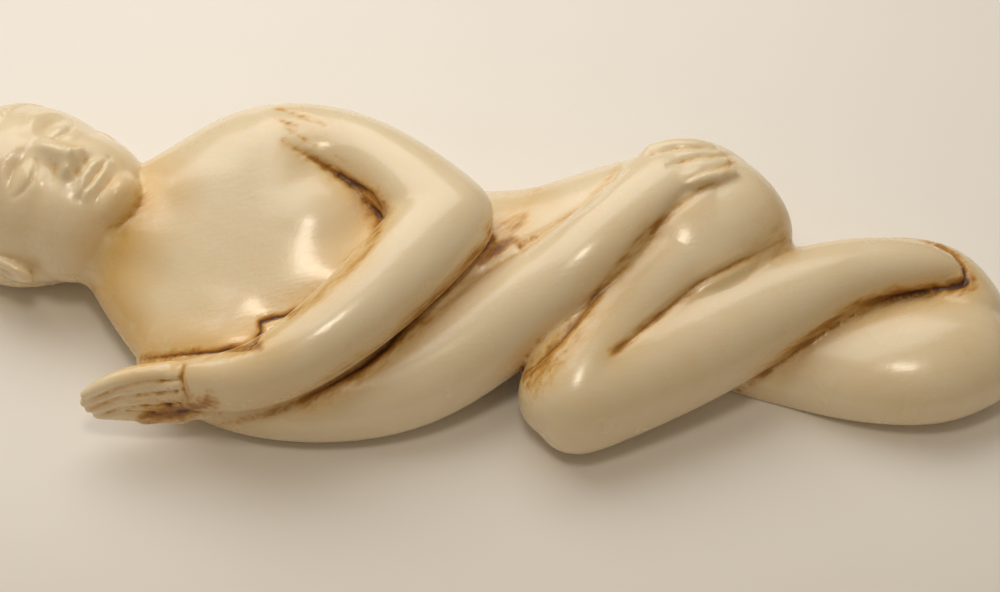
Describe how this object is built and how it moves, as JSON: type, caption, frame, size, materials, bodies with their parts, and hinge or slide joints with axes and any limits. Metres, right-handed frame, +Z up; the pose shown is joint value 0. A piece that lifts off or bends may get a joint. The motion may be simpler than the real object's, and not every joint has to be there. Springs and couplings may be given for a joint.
{
  "type": "carved reclining figure",
  "caption": "Small polished reclining nude lying on her back with folded legs, one forearm across the chest and a hand on the hip, carved in the round.",
  "frame": {"origin": "centre of the bounding box, on the flat underside", "axes": "+X from the head to the knees, +Y towards her left side, +Z up out of her chest"},
  "size_m": [0.177, 0.0628, 0.0304],
  "materials": {
    "ivory": "polished ivory, warm cream with brown stain in the grooves"
  },
  "bodies": {
    "root": {"figure": "ivory"}
  },
  "joints": []
}
